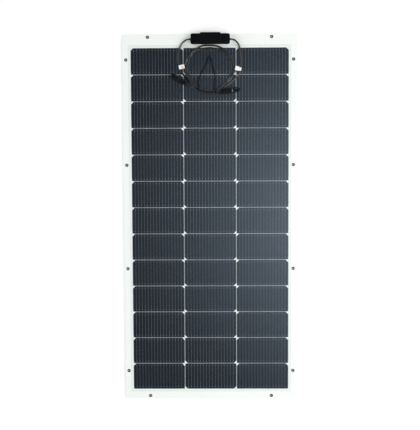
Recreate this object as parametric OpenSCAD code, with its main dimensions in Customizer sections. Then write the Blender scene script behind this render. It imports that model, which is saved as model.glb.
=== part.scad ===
// Flexible solar sheet: a thin laminate of half-cut cells with a junction box, two leads
// coiled on its face, and a pair of cable connectors.
// It lies on its back, cells up, with the junction box towards +Y.

/* [Cells] */
// Width of one half-cut cell
cell_w = 182; // [170:1:182]
// Height of one half-cut cell
cell_h = 91; // [88:1:91]
// Cut at a cell's two pseudo-square corners
cell_cut = 8; // [4:1:10]
// Gap between two cells of one string
row_gap = 2; // [1:0.5:3]
// Gap between two strings
string_gap = 2.5; // [2:0.5:4]
// Wires drawn across each cell
wire_count = 16; // [9:1:18]

/* [Sheet] */
// Border beside the cells
side_border = 30.5; // [28:0.5:40]
// Border between the cells and the junction box end
top_border = 48; // [48:1:60]
// Border at the far end
bottom_border = 35; // [35:1:50]
// Corner radius of the sheet
corner_r = 4; // [1:1:8]
// Thickness of the backsheet
backsheet_t = 1; // [0.8:0.1:1.5]
// Thickness of the front film
film_t = 0.3; // [0.2:0.05:0.4]

/* [Eyelets] */
// Radius of the hole in an eyelet
eyelet_hole_r = 3; // [2.5:0.25:3.5]
// Radius of an eyelet's flange
eyelet_flange_r = 5.8; // [5:0.1:6.5]

/* [Junction box] */
// Length of the box across the sheet
box_w = 137; // [130:1:140]
// Depth of the box along the sheet
box_d = 36; // [34:1:36]
// Height of the box with its lid
box_h = 14; // [13:0.5:18]

/* [Leads] */
// Diameter of a lead over its jacket
lead_d = 5.5; // [4.5:0.1:5.5]

/* [Hidden] */
$fn = 48;
gap = 0.6;                      // between strips that bend against each other
skin = 0.05;                    // between pieces that only touch
strip_rows = [3, 3, 3, 4];      // rows of cells in each strip, from the box end
columns = 3;
rows = strip_rows[0] + strip_rows[1] + strip_rows[2] + strip_rows[3];
row_pitch = cell_h + row_gap;
column_pitch = cell_w + string_gap;
sheet_w = columns * cell_w + (columns - 1) * string_gap + 2 * side_border;
sheet_l = rows * row_pitch - row_gap + top_border + bottom_border;
top_y = sheet_l / 2;
cells_top = top_y - top_border;
cells_bottom = cells_top - rows * row_pitch + row_gap;

// Layers, from the back face up
rear_t = 0.4;
cell_t = 0.2;
wire_w = 0.6;
wire_t = 0.1;
front_t = 0.8;
cell_z = backsheet_t + rear_t;
wire_z = cell_z + cell_t;
bus_z = wire_z + wire_t;
bus_t = 0.25;
film_z = cell_z + front_t;
sheet_t = film_z + film_t;

// Bus ribbons beyond the first and the last row
bus_w = 6;
bus_gap = 2.5;
return_w = 5;
return_t = 0.2;
return_x = column_pitch;
riser_x = [-40, 2.5, 45];
riser_w = 5;

// Eyelets stand in a row at each end and a column down each side
eyelet_end_x = 216.5;
eyelet_end_inset = 10;
eyelet_side_inset = 13;
eyelet_pitch = 367;
eyelet_mid_y = 6.5;
barrel_t = 0.35;
flange_t = 0.5;
washer_t = 0.45;

// Junction box
box_x = 2.5;
box_y = top_y - box_d / 2;
box_r = 6.5;
pad_t = 0.8;
bead_w = 1.6;
wall = 2;
lid_t = 3;
base_z = sheet_t + pad_t;
lid_z = sheet_t + box_h - lid_t;
gasket_t = 0.8;                 // room for the seal, not all of it filled
tab_w = 70;
tab_out = 4;
lead_z = base_z + 5.3;          // where the leads leave the box
gland_l = 4;

// Leads and their coil
lead_r = lead_d / 2;
low = sheet_t + lead_r + skin;  // centre of a lead that lies on the sheet
tie_t = 1.1;
tied = low + tie_t + 0.25;      // centre of a lead held by the cable ties
stacked = tied + lead_d + 0.1;  // centre of a lead on top of it
coil = [0, top_y - 120];
lead_sides = 10;

// A station on the coil: angle, radius and height
function on_coil(a, r, z) = [coil[0] + r * cos(a), coil[1] + r * sin(a), z];

// Connectors lie on the sheet, each with its axis level
plug_at = [31, top_y - 203.4, sheet_t + 9.6];
plug_turn = 8;
socket_at = [-77, top_y - 175.8, sheet_t + 9.6];
socket_turn = 149;
nut_l = 20;
seal_z = 3.3;
seal_l = 8;
lead_end = 12;                  // how far a lead runs into its connector
body_z = 20.4;
latch_z = 46.3;
latch_l = 25;
latch_x = 7.4;
nose_r = 4.3;

function along(at, turn, s) = [at[0] + s * cos(turn), at[1] + s * sin(turn), at[2]];

left_route = concat(
    [[-56, top_y - 19, lead_z], [-73, top_y - 19, lead_z], [-85, top_y - 23.5, 7.8],
     [-96, top_y - 33.8, 6.8], [-104.5, top_y - 49.5, 6], [-109.4, top_y - 68, 6],
     [-110, top_y - 86, 6], [-107, top_y - 103, 6], [-102.6, top_y - 122, 6],
     [-96, top_y - 134, 5.6]],
    [on_coil(197, 90.5, low), on_coil(208, 85.4, low + 0.1), on_coil(218, 83, low + 0.4),
     on_coil(228, 81.2, low + 0.9), on_coil(240, 79.8, tied), on_coil(262, 79, tied),
     on_coil(284, 77, tied), on_coil(297, 74.6, tied - 0.6), on_coil(312, 74.6, low),
     on_coil(330, 76, low), on_coil(350, 77, low), on_coil(10, 77, low), on_coil(30, 77, low),
     on_coil(50, 75.6, low), on_coil(70, 72.8, low), on_coil(90, 71.4, low),
     on_coil(104, 72, low), on_coil(116, 74.6, low + 1.2), on_coil(127, 78, low + 4.7),
     on_coil(138, 81.4, low + 6), on_coil(149, 83.8, low + 4.2), on_coil(160, 84.6, low + 1.2),
     on_coil(175, 84, low), on_coil(190, 82.6, low), on_coil(199, 81.2, low + 2.4),
     on_coil(208, 80.6, low + 5.2), on_coil(218, 81.8, stacked - 0.2),
     on_coil(228, 83.8, stacked + 0.1), on_coil(240, 85.6, stacked), on_coil(262, 85.8, stacked)],
    [along(plug_at, plug_turn, -10), along(plug_at, plug_turn, 0),
     along(plug_at, plug_turn, lead_end)]);

right_route = concat(
    [[61, top_y - 19, lead_z], [75, top_y - 19, lead_z], [88, top_y - 22.4, 7.8],
     [99.2, top_y - 33.4, 6.7], [105.2, top_y - 49.5, 6], [108.6, top_y - 70, 6],
     [109.6, top_y - 91, 6], [108.8, top_y - 112, 6], [105.4, top_y - 131, 6],
     [98.5, top_y - 143.5, 5.7]],
    [on_coil(339, 94.8, low), on_coil(330, 89.8, low + 0.4), on_coil(321, 86, low + 3.6),
     on_coil(312, 82.4, low + 6.3), on_coil(297, 78.8, stacked), on_coil(284, 80.6, stacked),
     on_coil(262, 79.8, stacked), on_coil(240, 79.8, stacked), on_coil(228, 78, stacked - 0.2),
     on_coil(218, 75.6, stacked - 1.4), on_coil(208, 74.4, low + 3.4), on_coil(199, 74.8, low + 1),
     on_coil(190, 76, low), on_coil(175, 77.4, low), on_coil(160, 77.8, low),
     on_coil(149, 79, low), on_coil(138, 80.8, low), on_coil(127, 82.2, low),
     on_coil(116, 82.8, low), on_coil(104, 82, low), on_coil(90, 80.2, low),
     on_coil(70, 82, low), on_coil(50, 83.2, low), on_coil(30, 83.6, low),
     on_coil(10, 83.6, low), on_coil(350, 83.4, low), on_coil(330, 82, low),
     on_coil(312, 80.6, low), on_coil(297, 80.8, tied - 0.6), on_coil(284, 82.8, tied),
     on_coil(262, 84.8, tied), on_coil(240, 85.8, tied)],
    [along(socket_at, socket_turn, -24) - [0, 0, 4.6],
     along(socket_at, socket_turn, -12) - [0, 0, 1.5],
     along(socket_at, socket_turn, 0), along(socket_at, socket_turn, lead_end)]);

strips = [for (i = [1 : len(strip_rows)]) str(i)];

// Rows above strip i, and the line on which strips i - 1 and i meet
function rows_above(i) = i == 0 ? 0 : strip_rows[i - 1] + rows_above(i - 1);
function bend_y(i) = cells_top - rows_above(i) * row_pitch + row_gap / 2;
function strip_top(i) = i == 0 ? top_y : bend_y(i) - gap / 2;
function strip_bottom(i) = i == len(strip_rows) - 1 ? -top_y : bend_y(i + 1) + gap / 2;
function column_x(c) = (c - (columns - 1) / 2) * column_pitch;
function row_y(k) = cells_top - k * row_pitch;

function eyelet_places(i) = concat(
    [for (s = [-1, 1]) [s * (sheet_w / 2 - eyelet_side_inset), eyelet_mid_y + (1.5 - i) * eyelet_pitch]],
    [for (s = [-1, 1]) if (i == 0) [s * eyelet_end_x, top_y - eyelet_end_inset]],
    [for (s = [-1, 1]) if (i == len(strip_rows) - 1) [s * eyelet_end_x, eyelet_end_inset - top_y]]);

// A block with rounded upright edges, its low corner at the origin
module rounded_block(w, d, h, r, corners = [0, 1, 2, 3]) {
    difference() {
        cube([w, d, h]);
        for (c = corners)
            translate([c % 2 == 0 ? 0 : w, c < 2 ? 0 : d, -1])
                scale([c % 2 == 0 ? 1 : -1, c < 2 ? 1 : -1, 1])
                    difference() {
                        translate([-1, -1, 0]) cube([r + 1, r + 1, h + 2]);
                        translate([r, r, -1]) cylinder(r = r, h = h + 4);
                    }
    }
}

// One layer of one strip, drilled for its eyelets
module strip_layer(i, z, t, hole_r = eyelet_hole_r + barrel_t + skin) {
    last = len(strip_rows) - 1;
    difference() {
        translate([-sheet_w / 2, strip_bottom(i), z])
            rounded_block(sheet_w, strip_top(i) - strip_bottom(i), t, corner_r,
                i == 0 ? [2, 3] : i == last ? [0, 1] : []);
        for (p = eyelet_places(i))
            translate([p[0], p[1], z - 1]) cylinder(r = hole_r, h = t + 2);
    }
}

// One cell, with its cut corners at the top or at the bottom
module cell(x, y, z, t, cuts_up) {
    w = cell_w / 2;
    translate([x, y - cell_h / 2, z])
        scale([1, cuts_up ? 1 : -1, 1])
            linear_extrude(t)
                polygon([[-w, -cell_h / 2], [w, -cell_h / 2], [w, cell_h / 2 - cell_cut],
                    [w - cell_cut, cell_h / 2], [cell_cut - w, cell_h / 2],
                    [-w, cell_h / 2 - cell_cut]]);
}

module strip_cells(i, t) {
    for (c = [0 : columns - 1], k = [0 : strip_rows[i] - 1])
        cell(column_x(c), row_y(rows_above(i) + k), cell_z, t, c != 1);
}

// The wires of a strip run on to the bus ribbons at the two ends of the sheet
module strip_wires(i) {
    high = i == 0 ? cells_top + bus_gap + bus_w : strip_top(i);
    low_y = i == len(strip_rows) - 1 ? cells_bottom - bus_gap - bus_w : strip_bottom(i);
    pitch = cell_w / (wire_count + 1);
    for (c = [0 : columns - 1], n = [1 : wire_count])
        translate([column_x(c) - cell_w / 2 + n * pitch - wire_w / 2, low_y, wire_z])
            cube([wire_w, high - low_y, wire_t]);
}

// The ribbon that brings the last string's far end back to the box, behind the cells
module return_ribbon(i) {
    high = i == 0 ? box_y - 6 : strip_top(i);
    low_y = i == len(strip_rows) - 1 ? cells_bottom - bus_gap - bus_w : strip_bottom(i);
    translate([return_x - return_w / 2, low_y, backsheet_t])
        cube([return_w, high - low_y, return_t]);
}

// Where the three ribbons rise from the laminate into the junction box
module riser_slots(z, t) {
    for (x = riser_x)
        translate([x - riser_w / 2 - 0.3, box_y - 5.3, z]) cube([riser_w + 0.6, bus_t + 0.6, t]);
}

module backsheet(i) {
    color("whitesmoke")
        difference() {
            strip_layer(i, 0, backsheet_t);
            for (p = eyelet_places(i))
                translate([p[0], p[1], -1]) cylinder(r = eyelet_flange_r + 0.2, h = 1 + washer_t);
        }
}

module rear_encapsulant(i) {
    color("ghostwhite")
        difference() {
            strip_layer(i, backsheet_t, rear_t);
            return_ribbon(i);
        }
}

module cells(i) {
    color("#23282f") strip_cells(i, cell_t);
}

module cell_wires(i) {
    color("silver") {
        strip_wires(i);
        return_ribbon(i);
    }
}

module front_encapsulant(i) {
    color("gainsboro")
        difference() {
            strip_layer(i, cell_z, front_t);
            strip_cells(i, cell_t + wire_t);
            strip_wires(i);
            if (i == 0) {
                top_ribbons();
                riser_slots(cell_z - 1, front_t + 2);
            }
            if (i == len(strip_rows) - 1) bottom_ribbons();
        }
}

module front_film(i) {
    color("lightgray")
        difference() {
            strip_layer(i, film_z, film_t);
            if (i == 0) riser_slots(film_z - 1, film_t + 2);
        }
}

// Pressed eyelets: a flange on the face, a barrel and a washer sunk in the back
module eyelets(i) {
    color("dimgray")
        for (p = eyelet_places(i))
            translate([p[0], p[1], 0])
                difference() {
                    union() {
                        cylinder(r = eyelet_flange_r, h = washer_t);
                        cylinder(r = eyelet_hole_r + barrel_t, h = sheet_t + flange_t);
                        translate([0, 0, sheet_t + skin])
                            cylinder(r1 = eyelet_flange_r, r2 = eyelet_flange_r - 0.6, h = flange_t);
                    }
                    translate([0, 0, -1]) cylinder(r = eyelet_hole_r, h = sheet_t + 3);
                }
}

// A flat ribbon lying between two corners
module ribbon(x1, y1, x2, y2) {
    translate([min(x1, x2), min(y1, y2), bus_z]) cube([abs(x2 - x1), abs(y2 - y1), bus_t]);
}

// The first string's end, the link between strings two and three, and the three risers
module top_ribbons() {
    y = cells_top + bus_gap;
    edge = column_pitch + cell_w / 2 - 4;
    half = column_pitch / 2;
    up = box_y - 5;
    ribbon(-edge, y, -half - 2, y + bus_w);
    ribbon(-half - 2 - bus_w, y, -half - 2, y + bus_w + 4);
    ribbon(-half - 2 - bus_w, y + bus_w + 1, riser_x[0] + riser_w / 2, y + bus_w + 4);
    ribbon(-half + 2, y, edge, y + bus_w);
    ribbon(riser_x[2] - riser_w / 2, y + bus_w + 1, return_x + return_w / 2, y + bus_w + 4);
    ribbon(riser_x[1] - riser_w / 2, y + bus_w, riser_x[1] + riser_w / 2, up);
    for (x = [riser_x[0], riser_x[2]])
        ribbon(x - riser_w / 2, y + bus_w + 1, x + riser_w / 2, up);
}

module top_bus() {
    color("silver") {
        top_ribbons();
        for (x = riser_x)
            translate([x - riser_w / 2, box_y - 5, bus_z]) cube([riser_w, bus_t, base_z + 3 - bus_z]);
    }
}

// The link between strings one and two, and the third string's end
module bottom_ribbons() {
    y = cells_bottom - bus_gap - bus_w;
    edge = column_pitch + cell_w / 2 - 4;
    half = column_pitch / 2;
    ribbon(-edge, y, half - 2, y + bus_w);
    ribbon(half + 2, y, edge, y + bus_w);
}

module bottom_bus() {
    color("silver") bottom_ribbons();
}

// A block with the junction box's outline, grown by a margin
module box_block(z, h, grow) {
    translate([box_x - box_w / 2 - grow, box_y - box_d / 2 - grow, z])
        rounded_block(box_w + 2 * grow, box_d + 2 * grow, h, box_r + grow);
}

// Adhesive under the box, squeezed out into a bead along its open sides
module sealant_bead() {
    color("white")
        difference() {
            union() {
                box_block(sheet_t, pad_t, bead_w);
                box_block(sheet_t, pad_t + 1.4, bead_w / 2);
            }
            box_block(base_z, 5, skin);
            translate([-sheet_w / 2, top_y, 0]) cube([sheet_w, 10, 10]);
            riser_slots(sheet_t - 1, 5);
        }
}

module junction_base() {
    color("#101215")
        difference() {
            box_block(base_z, lid_z - base_z - gasket_t, 0);
            box_block(base_z + 1.6, box_h, -wall);
            riser_slots(base_z - 1, 5);
            for (s = [-1, 1])
                translate([box_x + s * box_w / 2, box_y - 1, lead_z])
                    rotate([0, 90, 0]) cylinder(r = 4.05, h = 12, center = true);
        }
}

module lid_gasket() {
    color("black")
        difference() {
            box_block(lid_z - gasket_t + skin, gasket_t - 0.35, -0.3);
            box_block(lid_z - 2, 4, -wall + 0.3);
        }
}

// The lid is a shallow plate with a thicker middle that runs out over the sheet's edge
module junction_lid() {
    color("#15181c")
        difference() {
            union() {
                box_block(lid_z, lid_t - 1, 0);
                box_block(lid_z, lid_t - 0.4, -1.2);
                translate([box_x - tab_w / 2, box_y - box_d / 2 + 1.5, lid_z])
                    rounded_block(tab_w, box_d - 1.5 + tab_out, lid_t, 1.5);
                translate([box_x + box_w / 2 - 13, box_y - 10, lid_z])
                    rounded_block(3, 20, lid_t, 1.2);
            }
            for (s = [-1, 1])
                translate([box_x + s * (tab_w / 2 + 4) - 1, box_y - 7, lid_z + 1.6])
                    cube([2, 14, 5]);
        }
}

// Tinned plates that the ribbons and the leads are soldered to
module terminals() {
    color("silver")
        for (x = riser_x)
            translate([x - 8, box_y - 4.5, base_z + 1.6]) cube([16, 9, 1]);
}

module bypass_diodes() {
    color("#202226")
        for (n = [0, 1])
            translate([(riser_x[n] + riser_x[n + 1]) / 2, box_y, base_z + 4.4])
                rotate([0, 90, 0]) cylinder(r = 2.6, h = 9.5, center = true);
}

// Silicone that fills the box round the terminals, the diodes and the ends of the leads
module potting() {
    fill_w = box_w - 2 * wall - 2 * skin;
    color("#3a3d40")
        difference() {
            translate([box_x - fill_w / 2, box_y - box_d / 2 + wall + skin, base_z + 1.6])
                rounded_block(fill_w, box_d - 2 * wall - 2 * skin, 6, box_r - wall);
            for (x = riser_x) {
                translate([x - 8, box_y - 4.5, base_z]) cube([16, 9, 2.6]);
                translate([x - riser_w / 2, box_y - 5, base_z]) cube([riser_w, bus_t, 3]);
            }
            for (n = [0, 1])
                translate([(riser_x[n] + riser_x[n + 1]) / 2, box_y, base_z + 4.4])
                    rotate([0, 90, 0]) cylinder(r = 2.6, h = 9.5, center = true);
            for (s = [-1, 1])
                translate([box_x + s * box_w / 2, box_y - 1, lead_z])
                    rotate([0, 90, 0]) cylinder(r = 4.1, h = 24, center = true);
        }
}

// A gland is a rubber collar in the wall that tapers off along the lead
module gland(side) {
    color("#0c0d0f")
        translate([box_x + side * box_w / 2, box_y - 1, lead_z])
            rotate([0, side * 90, 0])
                difference() {
                    union() {
                        translate([0, 0, -wall - 1]) cylinder(r = 4, h = wall + 1);
                        cylinder(r1 = 3.8, r2 = 3.4, h = gland_l);
                    }
                    translate([0, 0, -wall - 2]) cylinder(r = lead_r + 0.2, h = gland_l + wall + 4);
                }
}

module left_gland() {
    gland(-1);
}

module right_gland() {
    gland(1);
}

function unit(v) = v / norm(v);

// A tube with a ring of points at every station of its route
module tube(route, r) {
    n = len(route);
    m = lead_sides;
    heading = [for (k = [0 : n - 1]) unit(route[min(k + 1, n - 1)] - route[max(k - 1, 0)])];
    points = [for (k = [0 : n - 1], j = [0 : m - 1])
        let (side = unit(cross(heading[k], [0, 0, 1])), up = cross(side, heading[k]),
            a = 360 * j / m)
        route[k] + r * (cos(a) * side + sin(a) * up)];
    walls = [for (k = [0 : n - 2], j = [0 : m - 1], half = [0, 1])
        let (a = k * m, b = (j + 1) % m)
        half == 0 ? [a + j, a + m + j, a + m + b] : [a + j, a + m + b, a + b]];
    ends = [[for (j = [0 : m - 1]) j], [for (j = [0 : m - 1]) n * m - 1 - j]];
    polyhedron(points, concat(walls, ends));
}

module left_lead() {
    color("#111214") tube(left_route, lead_r);
}

module right_lead() {
    color("#111214") tube(right_route, lead_r);
}

// A marker flag: a collar round the lead and a leaf that lies out beside it
module flag(at, turn, leaf, length) {
    collar_r = lead_r + 0.7;
    translate(at)
        rotate([0, 0, turn]) {
            difference() {
                union() {
                    rotate([90, 0, 0]) cylinder(r = collar_r, h = length, center = true);
                    translate([0, -length / 2, collar_r - 0.4]) cube([leaf, length, 0.4]);
                }
                rotate([90, 0, 0]) cylinder(r = collar_r - 0.25, h = length + 2, center = true);
            }
        }
}

module left_tag() {
    color("white") flag([-104.1, top_y - 115.4, 6], 13, 17, 13.6);
}

module right_tag() {
    color("white") flag([106.9, top_y - 122.6, 6], 169.9, 18, 15);
}

// A cable tie: a band round the four strands, its head, and its tail over the coil.
// lanes holds the strands' radii: outer and inner of the lower pair, then of the upper pair
module tie(angle, lanes, tail_l, tail_turn) {
    band_w = 2.6;
    slack = lead_r + 0.25;
    head_in = lanes[1] - 6.6;
    color("#17181a") {
        translate(on_coil(angle, 0, 0))
            rotate([90, 0, angle]) {
                difference() {
                    tie_outline(lanes, slack + tie_t, band_w);
                    tie_outline(lanes, slack, band_w + 2);
                }
                translate([head_in, tied - 1.5, -2.2]) cube([3.2, 5, 4.4]);
            }
        translate(on_coil(angle, head_in + 1.6, tied + 2.5))
            rotate([0, 0, tail_turn])
                translate([-1, -band_w / 2, 0]) cube([tail_l, band_w, 1]);
    }
}

module tie_outline(lanes, r, w) {
    hull()
        for (k = [0 : 3])
            translate([lanes[k], k < 2 ? tied : stacked, 0])
                cylinder(r = r, h = w, center = true, $fn = 32);
}

module left_tie() {
    tie(240, [85.8, 79.8, 85.6, 79.8], 104, 72);
}

module right_tie() {
    tie(284, [82.8, 77, 87.3, 80.6], 106, 98);
}

// Lays a connector down with its axis level, its cable end at the given place
module lay(at, turn) {
    translate(at) rotate([0, 90, turn]) children();
}

// The nut that squeezes the seal: a tapered cap with grip ribs
module nut() {
    difference() {
        union() {
            cylinder(r1 = 5.6, r2 = 7.6, h = 6);
            translate([0, 0, 6]) cylinder(r = 7.6, h = nut_l - 6);
            for (a = [0 : 36 : 324])
                rotate([0, 0, a]) translate([7, -0.9, 6.5]) cube([1.2, 1.8, nut_l - 8]);
        }
        translate([0, 0, -1]) cylinder(r = lead_r + 0.3, h = nut_l);
        translate([0, 0, seal_z - 0.3]) cylinder(r = 6.4, h = nut_l);
    }
}

module seal() {
    translate([0, 0, seal_z])
        difference() {
            cylinder(r = 6.1, h = seal_l);
            translate([0, 0, -1]) cylinder(r = lead_r + 0.1, h = seal_l + 2);
        }
}

// The stub inside the nut, and the bore for the contact
module stub() {
    difference() {
        union() {
            translate([0, 0, 11.4]) cylinder(r = 6.3, h = body_z - 11);
            translate([0, 0, body_z]) cylinder(r = 9.2, h = 4);
        }
        translate([0, 0, 10]) cylinder(r = 3.05, h = 20);
    }
}

module socket_nut() {
    color("#14161a") lay(socket_at, socket_turn) nut();
}

module plug_nut() {
    color("#14161a") lay(plug_at, plug_turn) nut();
}

module socket_seal() {
    color("#2b2d30") lay(socket_at, socket_turn) seal();
}

module plug_seal() {
    color("#2b2d30") lay(plug_at, plug_turn) seal();
}

// A straight body with a round mouth, and a window on each side for a latch
module socket_housing() {
    mouth = 64;
    color("#14161a")
        lay(socket_at, socket_turn)
            difference() {
                union() {
                    stub();
                    translate([0, 0, body_z + 4]) cylinder(r = 8.4, h = 10);
                    translate([0, 0, body_z + 14]) cylinder(r = 9.4, h = mouth - body_z - 14);
                }
                translate([0, 0, 10]) cylinder(r = 3.05, h = 30);
                translate([0, 0, 38]) cylinder(r = 6, h = mouth);
                for (s = [-1, 1])
                    translate([-2.5, s * 8 - 3, 50]) cube([5, 6, 6]);
            }
}

module socket_contact() {
    color("gainsboro")
        lay(socket_at, socket_turn) {
            translate([0, 0, lead_end + skin]) cylinder(r = 2.95, h = 12);
            translate([0, 0, lead_end + 12]) cylinder(r = 2, h = 24);
        }
}

// A round body with a slim nose that the latches run beside
module plug_housing() {
    nose = 76;
    color("#14161a")
        lay(plug_at, plug_turn)
            difference() {
                union() {
                    stub();
                    translate([0, 0, body_z + 4]) cylinder(r = 8.6, h = 6);
                    translate([0, 0, body_z + 10]) cylinder(r = 9.5, h = latch_z - body_z - 10.3);
                    translate([0, 0, 40]) cylinder(r = nose_r, h = nose - 40);
                }
                translate([0, 0, 10]) cylinder(r = 3.05, h = 90);
            }
}

module plug_contact() {
    color("gainsboro")
        lay(plug_at, plug_turn)
            difference() {
                translate([0, 0, lead_end + skin]) cylinder(r = 2.95, h = 60);
                translate([0, 0, 40]) cylinder(r = 1.9, h = 60);
            }
}

module plug_ring() {
    color("#8d8f90")
        lay(plug_at, plug_turn)
            translate([0, 0, latch_z + 1.2])
                difference() {
                    cylinder(r = 5.7, h = 2);
                    translate([0, 0, -1]) cylinder(r = nose_r + skin, h = 4);
                }
}

// A latch arm: springy beside the nose, with a hook near its tip
module latch(side) {
    color("#14161a")
        lay(plug_at, plug_turn)
            translate([-2.4, side * latch_x - 0.9, latch_z]) {
                cube([4.8, 1.8, latch_l]);
                translate([0, side > 0 ? 1.8 : -1.2, latch_l - 8]) cube([4.8, 1.2, 5]);
            }
}

module latch_inner() {
    latch(1);
}

module latch_outer() {
    latch(-1);
}

for (i = [0 : len(strip_rows) - 1]) {
    backsheet(i);
    rear_encapsulant(i);
    cells(i);
    cell_wires(i);
    front_encapsulant(i);
    front_film(i);
    eyelets(i);
}
top_bus();
bottom_bus();
sealant_bead();
junction_base();
junction_lid();
lid_gasket();
terminals();
bypass_diodes();
potting();
left_gland();
right_gland();
left_lead();
right_lead();
left_tag();
right_tag();
left_tie();
right_tie();
socket_housing();
socket_nut();
socket_seal();
socket_contact();
plug_housing();
plug_nut();
plug_seal();
plug_contact();
plug_ring();
latch_inner();
latch_outer();
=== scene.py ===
import math
import bpy
from mathutils import Matrix, Vector


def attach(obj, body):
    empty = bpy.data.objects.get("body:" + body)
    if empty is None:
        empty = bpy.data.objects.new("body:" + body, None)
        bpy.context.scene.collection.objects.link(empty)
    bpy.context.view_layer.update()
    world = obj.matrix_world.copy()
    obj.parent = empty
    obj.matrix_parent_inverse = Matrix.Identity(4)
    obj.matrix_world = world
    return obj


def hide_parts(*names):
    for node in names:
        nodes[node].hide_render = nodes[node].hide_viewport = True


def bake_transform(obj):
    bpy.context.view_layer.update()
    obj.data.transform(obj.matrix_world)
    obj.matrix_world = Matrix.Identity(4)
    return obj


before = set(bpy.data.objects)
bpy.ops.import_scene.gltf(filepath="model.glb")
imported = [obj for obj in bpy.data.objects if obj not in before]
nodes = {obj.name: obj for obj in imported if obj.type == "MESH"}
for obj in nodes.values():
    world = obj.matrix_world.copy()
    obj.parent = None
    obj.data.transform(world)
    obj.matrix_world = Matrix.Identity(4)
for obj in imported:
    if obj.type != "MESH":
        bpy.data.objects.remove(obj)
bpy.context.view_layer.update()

mm = 0.001

# The sheet, in millimetres as in the CAD
sheet = {
    "width": 612, "length": 1290, "corner": 4, "backTop": 1.4, "filmTop": 2.5,
    "cellWidth": 182, "cellHeight": 91, "cellCut": 8, "columnPitch": 184.5, "rowPitch": 93,
    "rows": 13, "cellsTop": 597, "cellsBottom": -610, "wires": 16, "wireWidth": 0.6,
    "windowHalf": 276.8, "windowMargin": 0.8, "eyeletBore": 3.4,
}
topY = sheet["length"] / 2
pitchX, pitchY = sheet["columnPitch"], sheet["rowPitch"]

# Where the sheet bends: each stretch runs from one body to the next, and its bend span is only cut into lines
# here
stretches = [
    {"top": 645, "bottom": 133, "bodies": ("head", "strip_2"), "bend": (409, 229), "strips": "12"},
    {"top": 133, "bottom": -53, "bodies": ("strip_2", "strip_3"), "bend": (130, -50), "strips": "23"},
    {"top": -53, "bottom": -645, "bodies": ("strip_3", "strip_4"), "bend": (-149, -329), "strips": "34"},
]


def clearSelection():
    if bpy.context.object and bpy.context.object.mode != "OBJECT":
        bpy.ops.object.mode_set(mode="OBJECT")
    bpy.ops.object.select_all(action="DESELECT")


def choose(piece):
    clearSelection()
    piece.select_set(True)
    bpy.context.view_layer.objects.active = piece


def settle(name):
    # names what was just added and moves its place into its mesh
    piece = bpy.context.object
    piece.name = name
    piece.data.name = name
    bpy.ops.object.transform_apply(location=True, rotation=True, scale=True)
    return piece


def block(name, low, high):
    clearSelection()
    centre = [(a + b) / 2 * mm for a, b in zip(low, high)]
    size = [(b - a) * mm for a, b in zip(low, high)]
    bpy.ops.mesh.primitive_cube_add(size=1, location=centre, scale=size)
    return settle(name)


def pick(piece, kind, test):
    # goes into edit mode with the faces, edges or vertices that pass the test selected
    choose(piece)
    bpy.ops.object.mode_set(mode="EDIT")
    bpy.ops.mesh.select_mode(type=kind)
    bpy.ops.mesh.select_all(action="DESELECT")
    bpy.ops.object.mode_set(mode="OBJECT")
    mesh = piece.data
    if kind == "FACE":
        for face in mesh.polygons:
            face.select = test(face.center / mm, face.normal)
    elif kind == "EDGE":
        for edge in mesh.edges:
            a, b = (mesh.vertices[k].co / mm for k in edge.vertices)
            edge.select = test(a, b)
    else:
        for vertex in mesh.vertices:
            vertex.select = test(vertex.co / mm)
    bpy.ops.object.mode_set(mode="EDIT")


def leave():
    bpy.ops.object.mode_set(mode="OBJECT")


def roundEdges(piece, test, offset, segments=3):
    pick(piece, "EDGE", test)
    bpy.ops.mesh.bevel(offset=offset * mm, segments=segments, affect="EDGES")
    leave()


def upright(a, b):
    return abs(a.x - b.x) < 0.01 and abs(a.y - b.y) < 0.01


def levelAt(z):
    return lambda a, b: abs(a.z - z) < 0.01 and abs(b.z - z) < 0.01


def cutLines(piece, places, axis=1):
    # cuts lines across a piece, so that it can bend there
    normal = [0, 0, 0]
    normal[axis] = 1
    for place in places:
        point = [0, 0, 0]
        point[axis] = place * mm
        pick(piece, "FACE", lambda centre, n: True)
        bpy.ops.mesh.bisect(plane_co=point, plane_no=normal)
        leave()


def bendLines(stretch, step=15):
    start, end = stretch["bend"]
    count = int((start - end) / step)
    return [start - (start - end) * k / count for k in range(count + 1)]


def mend(piece, distance=0.002):
    pick(piece, "FACE", lambda centre, n: True)
    bpy.ops.mesh.remove_doubles(threshold=distance * mm)
    bpy.ops.mesh.normals_make_consistent(inside=False)
    leave()


def soften(piece, angle=35):
    choose(piece)
    bpy.ops.object.shade_smooth_by_angle(angle=math.radians(angle))


def applyModifier(piece, kind, **settings):
    choose(piece)
    modifier = piece.modifiers.new(kind.title(), kind)
    for key, value in settings.items():
        setattr(modifier, key, value)
    bpy.ops.object.modifier_apply(modifier=modifier.name)


def bevelCorners(piece, width, angle=50):
    applyModifier(piece, "BEVEL", width=width * mm, segments=2, limit_method="ANGLE",
                  angle_limit=math.radians(angle))


def join(name, parts):
    clearSelection()
    for part in parts:
        part.select_set(True)
    bpy.context.view_layer.objects.active = parts[0]
    if len(parts) > 1:
        bpy.ops.object.join()
    return settle(name)


def copyOf(piece, matrix, name="copy"):
    twin = piece.copy()
    twin.data = piece.data.copy()
    twin.data.transform(matrix)
    twin.name = name
    bpy.context.scene.collection.objects.link(twin)
    return twin


def shift(x, y, z=0):
    return Matrix.Translation((x * mm, y * mm, z * mm))


def drill(piece, places, radius, low, high):
    drills = []
    for x, y in places:
        clearSelection()
        bpy.ops.mesh.primitive_cylinder_add(vertices=40, radius=radius * mm, depth=(high - low) * mm,
                                            location=(x * mm, y * mm, (low + high) / 2 * mm))
        drills.append(settle("drill"))
    cutAway(piece, join("drill", drills))


def cutAway(piece, tool):
    applyModifier(piece, "BOOLEAN", operation="DIFFERENCE", object=tool, solver="EXACT")
    bpy.data.objects.remove(tool)


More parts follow.
